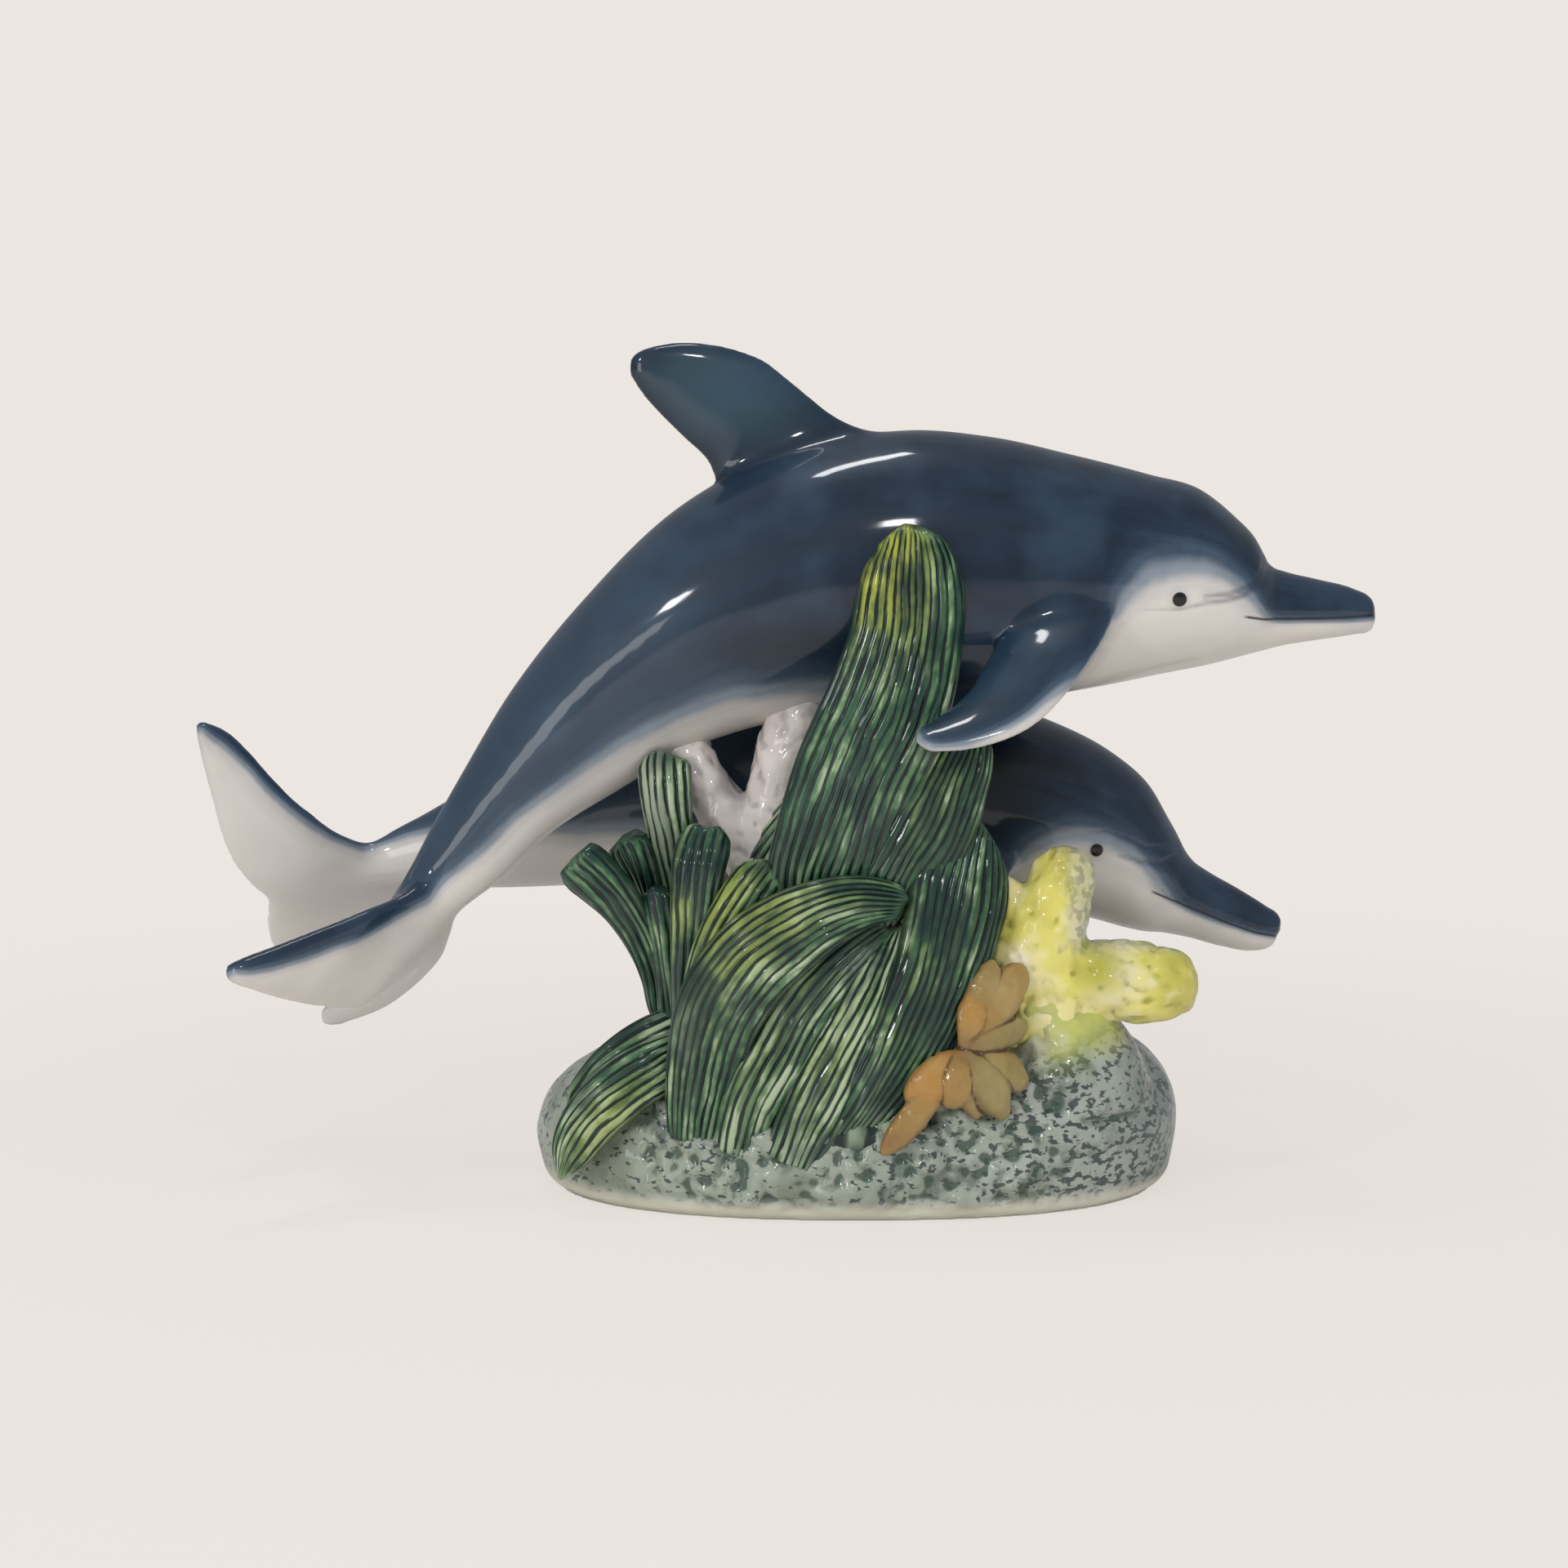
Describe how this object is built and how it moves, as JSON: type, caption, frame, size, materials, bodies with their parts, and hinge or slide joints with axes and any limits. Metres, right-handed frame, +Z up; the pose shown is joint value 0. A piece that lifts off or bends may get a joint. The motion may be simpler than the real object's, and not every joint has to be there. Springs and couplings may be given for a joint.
{
  "type": "dolphin figurine",
  "caption": "Glazed ceramic ornament of dolphins leaping past sea grass and coral on an oval rock base with a flat foot.",
  "frame": {"origin": "middle of the flat foot that the figurine stands on", "axes": "+X the way the dolphins swim, -Y the side that faces the viewer, +Z up"},
  "size_m": [0.266, 0.109, 0.1906],
  "materials": {
    "dolphin_glaze": "glossy ceramic glaze, slate blue-grey back fading softly to a cream-white belly",
    "leaf_glaze": "glossy ceramic glaze, dark green grooves with sage ridges and yellow-green tips",
    "rock_glaze": "glossy ceramic glaze, pale grey-green with dark sponged specks",
    "yellow_coral_glaze": "glossy ceramic glaze, lemon yellow with white patches and olive pits",
    "white_coral_glaze": "glossy ceramic glaze, off-white with faint grey specks",
    "anemone_glaze": "glossy ceramic glaze, amber brown and beige"
  },
  "bodies": {
    "root": {"dolphin_figurine": "dolphin_glaze"}
  },
  "joints": []
}
